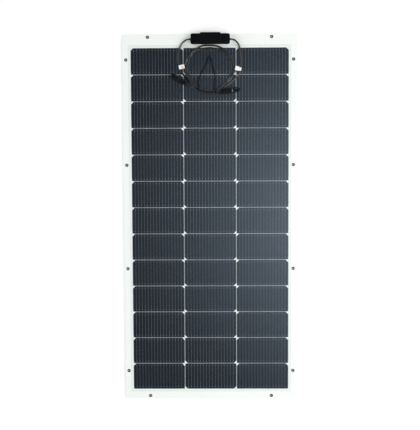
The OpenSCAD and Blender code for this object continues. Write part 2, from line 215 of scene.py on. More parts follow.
def turned(name, profile, sides=48):
    # a round piece: a ring drawn along Z through (height, radius) pairs and closed at both ends
    clearSelection()
    z, radius = profile[0]
    bpy.ops.mesh.primitive_circle_add(vertices=sides, radius=radius * mm, fill_type="NGON",
                                      location=(0, 0, z * mm))
    piece = settle(name)
    bpy.ops.object.mode_set(mode="EDIT")
    bpy.ops.mesh.select_mode(type="EDGE")
    bpy.ops.mesh.select_all(action="SELECT")
    bpy.ops.mesh.delete(type="ONLY_FACE")
    bpy.ops.mesh.select_all(action="SELECT")
    for nextZ, nextRadius in profile[1:]:
        bpy.ops.mesh.extrude_region_move(TRANSFORM_OT_translate={"value": (0, 0, (nextZ - z) * mm)})
        k = nextRadius / radius
        bpy.ops.transform.resize(value=(k, k, 1), center_override=(0, 0, nextZ * mm))
        z, radius = nextZ, nextRadius
    bpy.ops.mesh.edge_face_add()
    leave()
    firstZ = profile[0][0]
    firstRadius = profile[0][1]
    pick(piece, "EDGE", lambda a, b: abs(a.z - firstZ) < 0.001 and abs(b.z - firstZ) < 0.001
         and abs(a.xy.length - firstRadius) < 0.01 and abs(b.xy.length - firstRadius) < 0.01)
    bpy.ops.mesh.edge_face_add()
    leave()
    mend(piece, 0.0005)
    return piece


def openBore(piece, onRim):
    # takes out the two flat ends and bridges the end rings, so that the piece is a tube
    pick(piece, "FACE", lambda centre, n: centre.xy.length < 0.2)
    bpy.ops.mesh.delete(type="ONLY_FACE")
    leave()
    pick(piece, "EDGE", onRim)
    bpy.ops.mesh.bridge_edge_loops()
    leave()
    mend(piece, 0.0005)


def ringOf(radius):
    return lambda a, b: (abs(a.xy.length - radius) < 0.01 and abs(b.xy.length - radius) < 0.01
                         and abs(a.z - b.z) < 0.01)


def lay(piece, at, turn):
    # lays a piece that was made along Z down, with its axis level
    piece.data.transform(Matrix.Translation(Vector(at) * mm) @ Matrix.Rotation(math.radians(turn), 4, "Z")
                         @ Matrix.Rotation(math.radians(90), 4, "Y"))
    return piece


def drawLine(name, points):
    # a curve through the points; its thickness is set afterwards
    data = bpy.data.curves.new(name, "CURVE")
    data.dimensions = "3D"
    spline = data.splines.new("POLY")
    spline.points.add(len(points) - 1)
    for point, place in zip(spline.points, points):
        point.co = (*(Vector(place) * mm), 1)
    piece = bpy.data.objects.new(name, data)
    bpy.context.scene.collection.objects.link(piece)
    return piece


def toMesh(piece):
    choose(piece)
    bpy.ops.object.convert(target="MESH")
    return settle(piece.name)


def dress(piece, look):
    piece.data.materials.clear()
    piece.data.materials.append(look)
    return piece


# Straight above the sheet, in metres and degrees
camera = {"place": (0.0257, 0.1556, 2.5016), "turn": (-3.262, 0.593, -0.234), "focal": 59.29}
clearSelection()
bpy.ops.object.camera_add(location=camera["place"], rotation=[math.radians(a) for a in camera["turn"]])
lens = bpy.context.object
lens.name = "Camera"
lens.data.sensor_width = 36
lens.data.lens = camera["focal"]
lens.data.clip_end = 50
bpy.context.scene.camera = lens

# Both leads, in millimetres: their heights in the coil, and where each connector lies
leads = {
    "radius": 2.75, "low": 5.3, "tied": 6.65, "stacked": 12.25, "boxZ": 8.6,
    "coil": (0, 525), "plugAt": (31, 441.6, 12.1), "plugTurn": 8,
    "socketAt": (-77, 469.2, 12.1), "socketTurn": 149, "leadEnd": 12,
}
low, tied, stacked, boxZ = leads["low"], leads["tied"], leads["stacked"], leads["boxZ"]


def onCoil(angle, radius, z):
    a = math.radians(angle)
    return (leads["coil"][0] + radius * math.cos(a), leads["coil"][1] + radius * math.sin(a), z)


def along(at, turn, s, drop=0):
    a = math.radians(turn)
    return (at[0] + s * math.cos(a), at[1] + s * math.sin(a), at[2] - drop)


leftRoute = [
    (-56, topY - 19, boxZ), (-73, topY - 19, boxZ), (-85, topY - 23.5, 7.8),
    (-96, topY - 33.8, 6.8), (-104.5, topY - 49.5, 6), (-109.4, topY - 68, 6),
    (-110, topY - 86, 6), (-107, topY - 103, 6), (-102.6, topY - 122, 6), (-96, topY - 134, 5.6),
    onCoil(197, 90.5, low), onCoil(208, 85.4, low + 0.1), onCoil(218, 83, low + 0.4),
    onCoil(228, 81.2, low + 0.9), onCoil(240, 79.8, tied), onCoil(262, 79, tied),
    onCoil(284, 77, tied), onCoil(297, 74.6, tied - 0.6), onCoil(312, 74.6, low),
    onCoil(330, 76, low), onCoil(350, 77, low), onCoil(10, 77, low), onCoil(30, 77, low),
    onCoil(50, 75.6, low), onCoil(70, 72.8, low), onCoil(90, 71.4, low),
    onCoil(104, 72, low), onCoil(116, 74.6, low + 1.2), onCoil(127, 78, low + 4.7),
    onCoil(138, 81.4, low + 6), onCoil(149, 83.8, low + 4.2), onCoil(160, 84.6, low + 1.2),
    onCoil(175, 84, low), onCoil(190, 82.6, low), onCoil(199, 81.2, low + 2.4),
    onCoil(208, 80.6, low + 5.2), onCoil(218, 81.8, stacked - 0.2),
    onCoil(228, 83.8, stacked + 0.1), onCoil(240, 85.6, stacked), onCoil(262, 85.8, stacked),
    along(leads["plugAt"], leads["plugTurn"], -10), along(leads["plugAt"], leads["plugTurn"], 0),
    along(leads["plugAt"], leads["plugTurn"], leads["leadEnd"]),
]
rightRoute = [
    (61, topY - 19, boxZ), (75, topY - 19, boxZ), (88, topY - 22.4, 7.8),
    (99.2, topY - 33.4, 6.7), (105.2, topY - 49.5, 6), (108.6, topY - 70, 6),
    (109.6, topY - 91, 6), (108.8, topY - 112, 6), (105.4, topY - 131, 6), (98.5, topY - 143.5, 5.7),
    onCoil(339, 94.8, low), onCoil(330, 89.8, low + 0.4), onCoil(321, 86, low + 3.6),
    onCoil(312, 82.4, low + 6.3), onCoil(297, 78.8, stacked), onCoil(284, 80.6, stacked),
    onCoil(262, 79.8, stacked), onCoil(240, 79.8, stacked), onCoil(228, 78, stacked - 0.2),
    onCoil(218, 75.6, stacked - 1.4), onCoil(208, 74.4, low + 3.4), onCoil(199, 74.8, low + 1),
    onCoil(190, 76, low), onCoil(175, 77.4, low), onCoil(160, 77.8, low),
    onCoil(149, 79, low), onCoil(138, 80.8, low), onCoil(127, 82.2, low),
    onCoil(116, 82.8, low), onCoil(104, 82, low), onCoil(90, 80.2, low),
    onCoil(70, 82, low), onCoil(50, 83.2, low), onCoil(30, 83.6, low),
    onCoil(10, 83.6, low), onCoil(350, 83.4, low), onCoil(330, 82, low),
    onCoil(312, 80.6, low), onCoil(297, 80.8, tied - 0.6), onCoil(284, 82.8, tied),
    onCoil(262, 84.8, tied), onCoil(240, 85.8, tied),
    along(leads["socketAt"], leads["socketTurn"], -24, 4.6),
    along(leads["socketAt"], leads["socketTurn"], -12, 1.5),
    along(leads["socketAt"], leads["socketTurn"], 0),
    along(leads["socketAt"], leads["socketTurn"], leads["leadEnd"]),
]


def smoothLine(points, steps=8):
    # a smooth curve through the route's points
    line = []
    last = len(points) - 1
    for i in range(last):
        a, b, c, d = (Vector(points[min(max(k, 0), last)]) for k in (i - 1, i, i + 1, i + 2))
        for n in range(steps):
            t = n / steps
            line.append(0.5 * (2 * b + (c - a) * t + (2 * a - 5 * b + 4 * c - d) * t * t
                               + (3 * b - a - 3 * c + d) * t ** 3))
    line.append(Vector(points[last]))
    return line


def lineLength(line):
    return sum((b - a).length for a, b in zip(line, line[1:]))


def makeLead(name, route):
    line = smoothLine(route)
    piece = drawLine(name, line)
    piece.data.bevel_depth = leads["radius"] * mm
    piece.data.bevel_resolution = 4
    piece.data.use_fill_caps = True
    piece.data.splines[0].use_smooth = True
    print(name, "is", round(lineLength(line), 1), "mm long")
    return piece


leftLead = makeLead("leftLead", leftRoute)
rightLead = makeLead("rightLead", rightRoute)
print("leads laid")

def tone(code):
    # sRGB hex to linear
    parts = [int(code[k:k + 2], 16) / 255 for k in (1, 3, 5)]
    return [p / 12.92 if p <= 0.04045 else ((p + 0.055) / 1.055) ** 2.4 for p in parts] + [1]


def startLook(name, **settings):
    look = bpy.data.materials.new(name)
    look.use_nodes = True
    shader = look.node_tree.nodes["Principled BSDF"]
    for key, value in settings.items():
        shader.inputs[key.replace("_", " ")].default_value = value
    return look, shader


def addNode(look, kind, *values, sockets=None, out=0, **settings):
    # adds a node with its settings, links or fills its inputs, and gives one of its outputs
    node = look.node_tree.nodes.new("ShaderNode" + kind)
    for key, value in settings.items():
        setattr(node, key, value)
    for socket, value in zip(sockets or range(len(values)), values):
        if isinstance(value, bpy.types.NodeSocket):
            look.node_tree.links.new(value, node.inputs[socket])
        else:
            node.inputs[socket].default_value = value
    return node.outputs[out]


def plug(look, output, socket):
    look.node_tree.links.new(output, socket)


# The inputs used of three kinds of node: two tones mixed, blotches and grain
twoTones = {"sockets": (0, 6, 7), "out": 2, "data_type": "RGBA"}
blotches = {"sockets": ("Vector", "Scale", "Detail", "Roughness")}
relief = {"sockets": ("Height", "Distance", "Strength")}


def stripes(look, coordinate, pitch, width, start=0.0):
    # lines every pitch mm along one axis, width mm wide, one of them at start
    wave = addNode(look, "Math", addNode(look, "Math", coordinate, start * mm, operation="SUBTRACT"),
                   pitch / 2 * mm, operation="PINGPONG")
    return addNode(look, "Math", wave, width / 2 * mm, operation="LESS_THAN")


# Milky fluoropolymer film over a white backsheet: bright, faintly green, with a fine embossed
# grain that spreads highlights; the cell laminate shows as a slightly duller frame inside it
filmLook, shader = startLook("whiteLaminate", Roughness=0.42, IOR=1.45)
where = addNode(filmLook, "TexCoord", out="Object")
axes = addNode(filmLook, "SeparateXYZ", where).node.outputs
cloud = addNode(filmLook, "TexNoise", where, 1000 / 160, 3, **blotches)
fine = addNode(filmLook, "TexNoise", where, 1000 / 9, 2, **blotches)
laminate = {"halfWidth": 284.5 * mm, "halfLength": 613 * mm, "middleY": -6.5 * mm, "line": 0.9 * mm}
fromX = addNode(filmLook, "Math", axes[0], operation="ABSOLUTE")
fromY = addNode(filmLook, "Math", axes[1], laminate["middleY"], operation="SUBTRACT")
fromY = addNode(filmLook, "Math", fromY, operation="ABSOLUTE")
overX = addNode(filmLook, "Math", fromX, laminate["halfWidth"], operation="SUBTRACT")
overY = addNode(filmLook, "Math", fromY, laminate["halfLength"], operation="SUBTRACT")
over = addNode(filmLook, "Math", overX, overY, operation="MAXIMUM")
inside = addNode(filmLook, "Math", over, 0.0, operation="LESS_THAN")
rim = addNode(filmLook, "Math", addNode(filmLook, "Math", over, operation="ABSOLUTE"), laminate["line"],
              operation="LESS_THAN")
base = addNode(filmLook, "Mix", cloud, tone("#e6eae5"), tone("#eef0ec"), **twoTones)
base = addNode(filmLook, "Mix", addNode(filmLook, "Math", inside, 0.75, operation="MULTIPLY"), base,
               tone("#dce3dd"), **twoTones)
base = addNode(filmLook, "Mix", addNode(filmLook, "Math", rim, 0.35, operation="MULTIPLY"), base,
               tone("#b9bdb2"), **twoTones)
base = addNode(filmLook, "Mix", addNode(filmLook, "Math", fine, 0.1, operation="MULTIPLY"), base,
               tone("#c9cec6"), **twoTones)
plug(filmLook, base, shader.inputs["Base Color"])
grain = addNode(filmLook, "TexVoronoi", where, 1000 / 1.1, sockets=("Vector", "Scale"))
wavy = addNode(filmLook, "Math", cloud, 2.0, operation="MULTIPLY")
height = addNode(filmLook, "Math", grain, 0.35, wavy, operation="MULTIPLY_ADD")
plug(filmLook, addNode(filmLook, "Bump", height, 0.05 * mm, 0.5, **relief), shader.inputs["Normal"])

# PET rear film: flat white, dull, with a faint woven print of the press cloth
backLook, shader = startLook("rearFilm", Roughness=0.6)
where = addNode(backLook, "TexCoord", out="Object")
axes = addNode(backLook, "SeparateXYZ", where).node.outputs
warp = addNode(backLook, "Math", axes[0], 1.0 * mm, operation="PINGPONG")
weft = addNode(backLook, "Math", axes[1], 1.0 * mm, operation="PINGPONG")
weave = addNode(backLook, "Math", warp, weft, operation="MULTIPLY")
weave = addNode(backLook, "Math", weave, 1 / mm ** 2, operation="MULTIPLY")
cloud = addNode(backLook, "TexNoise", where, 1000 / 60, 3, **blotches)
white = addNode(backLook, "Mix", cloud, tone("#eff1ee"), tone("#f6f7f5"), **twoTones)
# on the face side every narrow gap between cells is painted grey, a painted shade as if the cell edges shaded
# it, and only the cut corners stay white
gapX, gapY, diamond = pitchX / 2, sheet["cellsTop"] - pitchY + 1, 17
between = addNode(backLook, "Math", 1.0, stripes(backLook, axes[0], pitchX, diamond, gapX),
                  operation="SUBTRACT")
shadeAcrossGaps = addNode(backLook, "Math", between, stripes(backLook, axes[1], pitchY, 2.6, gapY),
                     operation="MULTIPLY")
between = addNode(backLook, "Math", 1.0, stripes(backLook, axes[1], pitchY, diamond, gapY),
                  operation="SUBTRACT")
shadeDownGaps = addNode(backLook, "Math", between, stripes(backLook, axes[0], pitchX, 3.2, gapX),
                   operation="MULTIPLY")
faceSide = addNode(backLook, "Math", axes[2], 1.0 * mm, operation="GREATER_THAN")
paintedGapShade = addNode(backLook, "Math", shadeAcrossGaps, shadeDownGaps, operation="MAXIMUM")
paintedGapShade = addNode(backLook, "Math", paintedGapShade, faceSide, operation="MULTIPLY")
# painted shade: the grey laid over each gap between cells on the face side
base = addNode(backLook, "Mix", paintedGapShade, white, tone("#adb3b1"), **twoTones)
plug(backLook, base, shader.inputs["Base Color"])
plug(backLook, addNode(backLook, "Bump", weave, 0.04 * mm, 0.5, **relief), shader.inputs["Normal"])

# Monocrystalline silicon with a blue-black nitride coating: fine printed fingers across it,
# small solder pads under each wire, and a shade that differs a little from cell to cell
cellLook, shader = startLook("siliconCell", Roughness=0.3, IOR=1.5, Specular_IOR_Level=0.1)
where = addNode(cellLook, "TexCoord", out="Object")
axes = addNode(cellLook, "SeparateXYZ", where).node.outputs
fromLeft = addNode(cellLook, "Math", axes[0], 1.5 * pitchX * mm, operation="ADD")
fromTop = addNode(cellLook, "Math", (sheet["cellsTop"] + 1) * mm, axes[1], operation="SUBTRACT")
column = addNode(cellLook, "Math", addNode(cellLook, "Math", fromLeft, pitchX * mm, operation="DIVIDE"),
                 operation="FLOOR")
row = addNode(cellLook, "Math", addNode(cellLook, "Math", fromTop, pitchY * mm, operation="DIVIDE"),
              operation="FLOOR")
which = addNode(cellLook, "CombineXYZ", column, row)
shade = addNode(cellLook, "TexWhiteNoise", which, sockets=("Vector",))
crystal = addNode(cellLook, "TexNoise", where, 1000 / 35, 2, **blotches)
base = addNode(cellLook, "Mix", shade, tone("#070a10"), tone("#0b0f16"), **twoTones)
base = addNode(cellLook, "Mix", addNode(cellLook, "Math", crystal, 0.35, operation="MULTIPLY"), base,
               tone("#0a0d11"), **twoTones)
fingers = stripes(cellLook, axes[1], 1.3, 0.12)   # real fingers are 0.04 mm wide, too fine to show
inCell = addNode(cellLook, "Math", fromLeft, pitchX * mm, operation="MODULO")
inRow = addNode(cellLook, "Math", fromTop, pitchY * mm, operation="MODULO")
toWire = addNode(cellLook, "Math", inCell, (pitchX - sheet["cellWidth"]) / 2 * mm, operation="SUBTRACT")
nearWire = stripes(cellLook, toWire, sheet["cellWidth"] / 17, 2.4)
pads = addNode(cellLook, "Math", nearWire, stripes(cellLook, inRow, 14.1, 0.9, 4.2), operation="MULTIPLY")
fromMiddle = addNode(cellLook, "Math", inRow, pitchY / 2 * mm, operation="SUBTRACT")
fromMiddle = addNode(cellLook, "Math", fromMiddle, operation="ABSOLUTE")
fromEnd = addNode(cellLook, "Math", fromMiddle, 38 * mm, operation="SUBTRACT")
fromEnd = addNode(cellLook, "Math", fromEnd, operation="ABSOLUTE")
atEnd = addNode(cellLook, "Math", fromEnd, 2.2 * mm, operation="LESS_THAN")
ends = addNode(cellLook, "Math", nearWire, atEnd, operation="MULTIPLY")
base = addNode(cellLook, "Mix", addNode(cellLook, "Math", fingers, 0.12, operation="MULTIPLY"), base,
               tone("#7d8692"), **twoTones)
faint = addNode(cellLook, "Math", pads, 0.06, operation="MULTIPLY")
solder = addNode(cellLook, "Math", ends, 0.22, faint, operation="MULTIPLY_ADD")
base = addNode(cellLook, "Mix", solder, base, tone("#b4bac0"), **twoTones)
plug(cellLook, base, shader.inputs["Base Color"])
plug(cellLook, addNode(cellLook, "Bump", fingers, 0.02 * mm, 0.3, **relief), shader.inputs["Normal"])

# Tinned copper wire: dull silver, slightly uneven
wireLook, shader = startLook("tinnedCopper", Metallic=0.9, Roughness=0.5)
where = addNode(wireLook, "TexCoord", out="Object")
patch = addNode(wireLook, "TexNoise", where, 1000 / 6, 2, **blotches)
base = addNode(wireLook, "Mix", patch, tone("#70777f"), tone("#8f959c"), **twoTones)
plug(wireLook, base, shader.inputs["Base Color"])
grain = addNode(wireLook, "TexNoise", where, 1000 / 1.5, 2, **blotches)
plug(wireLook, addNode(wireLook, "Bump", grain, 0.03 * mm, 0.4, **relief), shader.inputs["Normal"])

# Clear fluoropolymer front film: see-through, with a fine embossed grain that turns reflections
# into a soft blue-grey haze
clearLook, shader = startLook("clearFilm", Base_Color=tone("#aeb9c6"), Roughness=0.4, IOR=1.43)
where = addNode(clearLook, "TexCoord", out="Object")
emboss = addNode(clearLook, "TexVoronoi", where, 1000 / 1.1, sockets=("Vector", "Scale"))
ripple = addNode(clearLook, "TexNoise", where, 1000 / 120, 2, **blotches)
ripple = addNode(clearLook, "Math", ripple, 3.0, operation="MULTIPLY")
height = addNode(clearLook, "Math", emboss, 0.3, ripple, operation="MULTIPLY_ADD")
dimple = addNode(clearLook, "Bump", height, 0.03 * mm, 0.5, **relief)
gloss = addNode(clearLook, "BsdfGlossy", tone("#c2daf0"), 0.45, dimple,
                sockets=("Color", "Roughness", "Normal"), distribution="BECKMANN")
clear = addNode(clearLook, "BsdfTransparent")
front = addNode(clearLook, "Math", 1.0, addNode(clearLook, "NewGeometry", out="Backfacing"),
                operation="SUBTRACT")
share = addNode(clearLook, "Math", addNode(clearLook, "Fresnel", 2.0, sockets=("IOR",)), 0.16,
                operation="MINIMUM")
share = addNode(clearLook, "Math", share, front, operation="MULTIPLY")
film = addNode(clearLook, "MixShader", share, clear, gloss)
plug(clearLook, film, clearLook.node_tree.nodes["Material Output"].inputs["Surface"])
clearLook.node_tree.nodes.remove(shader)

# Black-nickel-plated brass eyelets: dark mirror metal, with a painted highlight that makes the rolled edge
# brighter
eyeletLook, shader = startLook("blackNickel", Metallic=1.0, Roughness=0.24)
where = addNode(eyeletLook, "TexCoord", out="Object")
# painted highlight: the sharpest edges, the rolled rim round the hole most of all, are painted lighter
edge = addNode(eyeletLook, "NewGeometry", out="Pointiness")
rimHighlight = addNode(eyeletLook, "Math", edge, 0.5, operation="SUBTRACT")
rimHighlight = addNode(eyeletLook, "Math", rimHighlight, 6.0, operation="MULTIPLY")
rimHighlight = addNode(eyeletLook, "Clamp", rimHighlight)
base = addNode(eyeletLook, "Mix", rimHighlight, tone("#3b3c3c"), tone("#9b9b98"), **twoTones)
plug(eyeletLook, base, shader.inputs["Base Color"])
grain = addNode(eyeletLook, "TexNoise", where, 1000 / 1.2, 2, **blotches)
plug(eyeletLook, addNode(eyeletLook, "Bump", grain, 0.03 * mm, 0.3, **relief), shader.inputs["Normal"])

# Neutral-cure silicone: white, soft, wet-looking, finger-smoothed with small lumps
sealantLook, shader = startLook("whiteSilicone", Roughness=0.3, Subsurface_Weight=0.15,
                                Subsurface_Scale=0.002)
where = addNode(sealantLook, "TexCoord", out="Object")
patch = addNode(sealantLook, "TexNoise", where, 1000 / 12, 3, **blotches)
base = addNode(sealantLook, "Mix", patch, tone("#f4f5f3"), tone("#fdfdfc"), **twoTones)
plug(sealantLook, base, shader.inputs["Base Color"])
grain = addNode(sealantLook, "TexNoise", where, 1000 / 3.5, 3, **blotches)
plug(sealantLook, addNode(sealantLook, "Bump", grain, 0.5 * mm, 0.5, **relief), shader.inputs["Normal"])


# Moulded black plastic or rubber: near-black in two close tones, with a fine moulded grain and a
# slightly uneven polish
def blackLook(name, dark, light, grainSize, grainDepth, roughness, shine=0.5):
    look, shader = startLook(name, IOR=1.5, Specular_IOR_Level=shine)
    where = addNode(look, "TexCoord", out="Object")
    patch = addNode(look, "TexNoise", where, 1000 / 14, 3, **blotches)
    base = addNode(look, "Mix", patch, tone(dark), tone(light), **twoTones)
    plug(look, base, shader.inputs["Base Color"])
    polish = addNode(look, "TexNoise", where, 1000 / 5, 2, **blotches)
    polish = addNode(look, "MapRange", polish, roughness - 0.06, roughness + 0.08, sockets=(0, 3, 4))
    plug(look, polish, shader.inputs["Roughness"])
    grain = addNode(look, "TexNoise", where, 1000 / grainSize, 3, **blotches)
    plug(look, addNode(look, "Bump", grain, grainDepth * mm, 0.6, **relief), shader.inputs["Normal"])
    return look


# PPO for the box and connectors, polyolefin for the leads, EPDM for the seals
boxLook = blackLook("mouldedBoxPlastic", "#040608", "#07090c", 0.7, 0.06, 0.42, 0.1)
lidLook = blackLook("mouldedLidPlastic", "#040609", "#070a0e", 0.7, 0.06, 0.40, 0.08)
jacketLook = blackLook("cableJacket", "#030304", "#060607", 1.6, 0.015, 0.17, 0.7)
connectorLook = blackLook("connectorPlastic", "#040507", "#080a0c", 0.6, 0.05, 0.38, 0.16)
rubberLook = blackLook("sealRubber", "#101112", "#17181a", 0.9, 0.05, 0.55)
diodeLook = blackLook("diodeEpoxy", "#17181b", "#1f2124", 0.5, 0.03, 0.5)
# The same build in grey silicone, for the filling of the box and the plug's ring
pottingLook = blackLook("pottingSilicone", "#3a3d40", "#484b4e", 4, 0.1, 0.35)
ringLook = blackLook("greySealRing", "#8a8c8d", "#a2a4a4", 0.9, 0.03, 0.45)

# Nylon 6.6 cable tie: black, slightly glossy, with the ratchet's fine teeth across it
tieLook, shader = startLook("nylonTie", Roughness=0.34, Specular_IOR_Level=0.14)
where = addNode(tieLook, "TexCoord", out="Object")
# a wave repeats every 6.28 / 20 of its own units, so this puts a tooth every 1.2 mm
teeth = addNode(tieLook, "TexWave", where, 1000 / 1.2 / 20 * 6.28, out=1, sockets=("Vector", "Scale"))
plug(tieLook, addNode(tieLook, "Bump", teeth, 0.05 * mm, 0.3, **relief), shader.inputs["Normal"])
patch = addNode(tieLook, "TexNoise", where, 1000 / 8, 2, **blotches)
base = addNode(tieLook, "Mix", patch, tone("#040506"), tone("#08090b"), **twoTones)
plug(tieLook, base, shader.inputs["Base Color"])


# Vinyl marker film: white, semi-gloss, a little creased; one carries a faint red polarity patch
def markerLook(name, spot=None):
    look, shader = startLook(name, Roughness=0.38)
    where = addNode(look, "TexCoord", out="Object")
    patch = addNode(look, "TexNoise", where, 1000 / 7, 3, **blotches)
    base = addNode(look, "Mix", patch, tone("#dcdad7"), tone("#f2f1ee"), **twoTones)
    if spot:
        moved = addNode(look, "VectorMath", where, [v * mm for v in spot], operation="SUBTRACT")
        axes = addNode(look, "SeparateXYZ", moved).node.outputs
        across = addNode(look, "Math", addNode(look, "Math", axes[0], operation="ABSOLUTE"), 3.2 * mm,
                         operation="LESS_THAN")
        up = addNode(look, "Math", addNode(look, "Math", axes[1], operation="ABSOLUTE"), 3.6 * mm,
                     operation="LESS_THAN")
        faded = addNode(look, "TexNoise", where, 1000 / 2.2, 2, **blotches)
        faded = addNode(look, "Math", faded, 0.6, 0.35, operation="MULTIPLY_ADD")
        inPatch = addNode(look, "Math", across, up, operation="MULTIPLY")
        mark = addNode(look, "Math", inPatch, faded, operation="MULTIPLY")
        base = addNode(look, "Mix", mark, base, tone("#c47a76"), **twoTones)
    plug(look, base, shader.inputs["Base Color"])
    grain = addNode(look, "TexNoise", where, 1000 / 6, 2, **blotches)
    plug(look, addNode(look, "Bump", grain, 0.35 * mm, 0.5, **relief), shader.inputs["Normal"])
    return look


leftMarkerLook = markerLook("redMarkerVinyl", (-95.5, 530.5, 0))
rightMarkerLook = markerLook("markerVinyl")
print("materials ready")

# Two eyelets on each short edge and four on each long one
eyeletPlaces = [(s * 216.5, y) for y in (635, -635) for s in (-1, 1)]
eyeletPlaces += [(s * 293, 6.5 + k * 367) for k in (1.5, 0.5, -0.5, -1.5) for s in (-1, 1)]


def stretchBend(piece):
    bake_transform(piece)
    return piece


def standFor(piece, stretch, *names):
    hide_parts(*[f"{name}_{k}" for name in names for k in stretch["strips"]])
    return piece


def sheetLayer(name, stretch, low, high, window=False):
    half = sheet["width"] / 2
    piece = block(name, (-half, stretch["bottom"], low), (half, stretch["top"], high))
    ends = [y for y in (stretch["top"], stretch["bottom"]) if abs(y) == topY]
    if ends:
        roundEdges(piece, lambda a, b: upright(a, b) and abs(a.y - ends[0]) < 0.01, sheet["corner"], 5)
    if window:
        wide, past = sheet["windowHalf"], 5      # past: how far the tool runs on where the window does
        atTop, atBottom = stretch["top"] == topY, stretch["bottom"] == -topY
        tall = sheet["cellsTop"] + sheet["windowMargin"] if atTop else stretch["top"] + past
        deep = sheet["cellsBottom"] - sheet["windowMargin"] if atBottom else stretch["bottom"] - past
        cutAway(piece, block("window", (-wide, deep, low - 1), (wide, tall, high + 1)))
    cutLines(piece, bendLines(stretch))
    places = [p for p in eyeletPlaces if stretch["bottom"] < p[1] < stretch["top"]]
    if places:
        drill(piece, places, sheet["eyeletBore"], low - 1, high + 1)
    return piece


# One cell with two cut corners, and one wire; every other cell and wire is a copy
def makeCell():
    w, h = sheet["cellWidth"] / 2, sheet["cellHeight"] / 2
    cell = block("cell", (-w, -h, 1.4), (w, h, 1.6))
    roundEdges(cell, lambda a, b: upright(a, b) and a.y > 0, sheet["cellCut"], 1)
    cutLines(cell, [-h / 2, 0, h / 2])
    return cell


cellUp = makeCell()
flip = Matrix.Rotation(math.pi, 4, "Z")
for number, stretch in enumerate(stretches, 1):
    back = sheetLayer(f"rearSheet{number}", stretch, 0, sheet["backTop"])
    dress(back, backLook)
    standFor(back, stretch, "backsheet", "rear_encapsulant")
    stretchBend(back)

    border = sheetLayer(f"whiteBorder{number}", stretch, sheet["backTop"], sheet["filmTop"], window=True)
    dress(border, filmLook)
    standFor(border, stretch, "front_encapsulant", "front_film")
    stretchBend(border)

    tall = min(stretch["top"], sheet["cellsTop"] + sheet["windowMargin"])
    deep = max(stretch["bottom"], sheet["cellsBottom"] - sheet["windowMargin"])
    wide = sheet["windowHalf"]
    pane = block(f"clearPane{number}", (-wide, deep, 2.25), (wide, tall, sheet["filmTop"]))
    cutLines(pane, bendLines(stretch))
    dress(pane, clearLook)
    standFor(pane, stretch, "front_film")
    stretchBend(pane)

    cells = []
    for row in range(sheet["rows"]):
        y = sheet["cellsTop"] - row * pitchY - sheet["cellHeight"] / 2
        if stretch["bottom"] < y < stretch["top"]:
            for column in (-1, 0, 1):
                matrix = shift(column * pitchX, y)
                cells.append(copyOf(cellUp, matrix @ flip if column == 0 else matrix))
    cells = join(f"cells{number}", cells)
    dress(cells, cellLook)
    standFor(cells, stretch, "cells")
    stretchBend(cells)

    high = min(stretch["top"], sheet["cellsTop"] + 8)
    deep = max(stretch["bottom"], sheet["cellsBottom"] - 8)
    half = sheet["wireWidth"] / 2
    wire = block("wire", (-half, deep, 1.6), (half, high, 1.72))
    cutLines(wire, bendLines(stretch))
    wires = []
    for column in (-1, 0, 1):
        for n in range(sheet["wires"]):
            x = column * pitchX + (n + 1 - 17 / 2) * sheet["cellWidth"] / 17
            wires.append(copyOf(wire, shift(x, 0)))
    bpy.data.objects.remove(wire)
    wires = join(f"cellWires{number}", wires)
    dress(wires, wireLook)
    standFor(wires, stretch, "cell_wires")
    stretchBend(wires)
bpy.data.objects.remove(cellUp)
print("sheet built")

# One eyelet, in millimetres; all twelve are copies of it
eyelet = {"hole": 3.0, "wall": 0.35, "flange": 5.8, "top": 3.05}


def makeEyelet():
    # the barrel, rolled out over the face and pressed flat at the back
    h, f, t = eyelet["hole"], eyelet["flange"], eyelet["top"]
    bore = h + eyelet["wall"]
    profile = [(0.02, h), (0.3, h), (2.3, h), (2.75, h + 0.15), (t - 0.1, h + 0.6), (t, h + 1.3),
               (t - 0.08, f - 0.9), (2.85, f - 0.25), (2.62, f), (2.53, f - 0.12),
               (2.52, bore), (0.45, bore), (0.43, f), (0.2, f), (0.02, f - 0.3)]
    return turned("eyelet", profile, 40)


eyeletShape = makeEyelet()
openBore(eyeletShape, lambda a, b: abs(a.z - 0.02) < 0.005 and abs(b.z - 0.02) < 0.005
         and abs(a.xy.length - b.xy.length) < 0.01)
soften(eyeletShape, 40)
eyeletSets = [
    ("eyeletsHead", "head", 500, 700, "1"), ("eyeletsSecond", "strip_2", 100, 300, "2"),
    ("eyeletsThird", None, -300, -100, "3"), ("eyeletsFar", "strip_4", -700, -500, "4"),
]
for name, body, bottom, top, strip in eyeletSets:
    piece = join(name, [copyOf(eyeletShape, shift(x, y)) for x, y in eyeletPlaces if bottom < y < top])
    dress(piece, eyeletLook)
    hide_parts("eyelets_" + strip)
    if body:
        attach(piece, body)
    else:
        stretchBend(piece)
bpy.data.objects.remove(eyeletShape)
print("eyelets set")

# The junction box, with the raised block in the middle of its lid
box = {
    "x": (-66, 71), "y": (609, 645), "z": (3.3, 12.7), "corner": 6.5, "lidZ": 13.5, "lidTop": 16.5,
    "tab": (-32.5, 37.5), "tabOut": 4, "leadY": 626,
}


def roundedBlock(name, low, high, corner, edge, segments=6):
    piece = block(name, low, high)
    roundEdges(piece, upright, corner, segments)
    if edge:
        roundEdges(piece, levelAt(high[2]), edge, 3)
    return piece


def makeBase():
    (x0, x1), (y0, y1), (z0, z1) = box["x"], box["y"], box["z"]
    base = roundedBlock("boxBase", (x0, y0, z0), (x1, y1, z1), box["corner"], 0)
    pick(base, "FACE", lambda centre, n: n.z > 0.9)
    bpy.ops.mesh.inset(thickness=2 * mm)
    bpy.ops.transform.translate(value=(0, 0, -7.8 * mm))
    leave()
    bores = []
    for x in (x0, x1):
        clearSelection()
        bpy.ops.mesh.primitive_cylinder_add(vertices=32, radius=4.05 * mm, depth=12 * mm,
                                            rotation=(0, math.pi / 2, 0),
                                            location=(x * mm, box["leadY"] * mm, boxZ * mm))
        bores.append(settle("bore"))
    cutAway(base, join("bore", bores))
    bevelCorners(base, 0.35)
    soften(base)
    return base


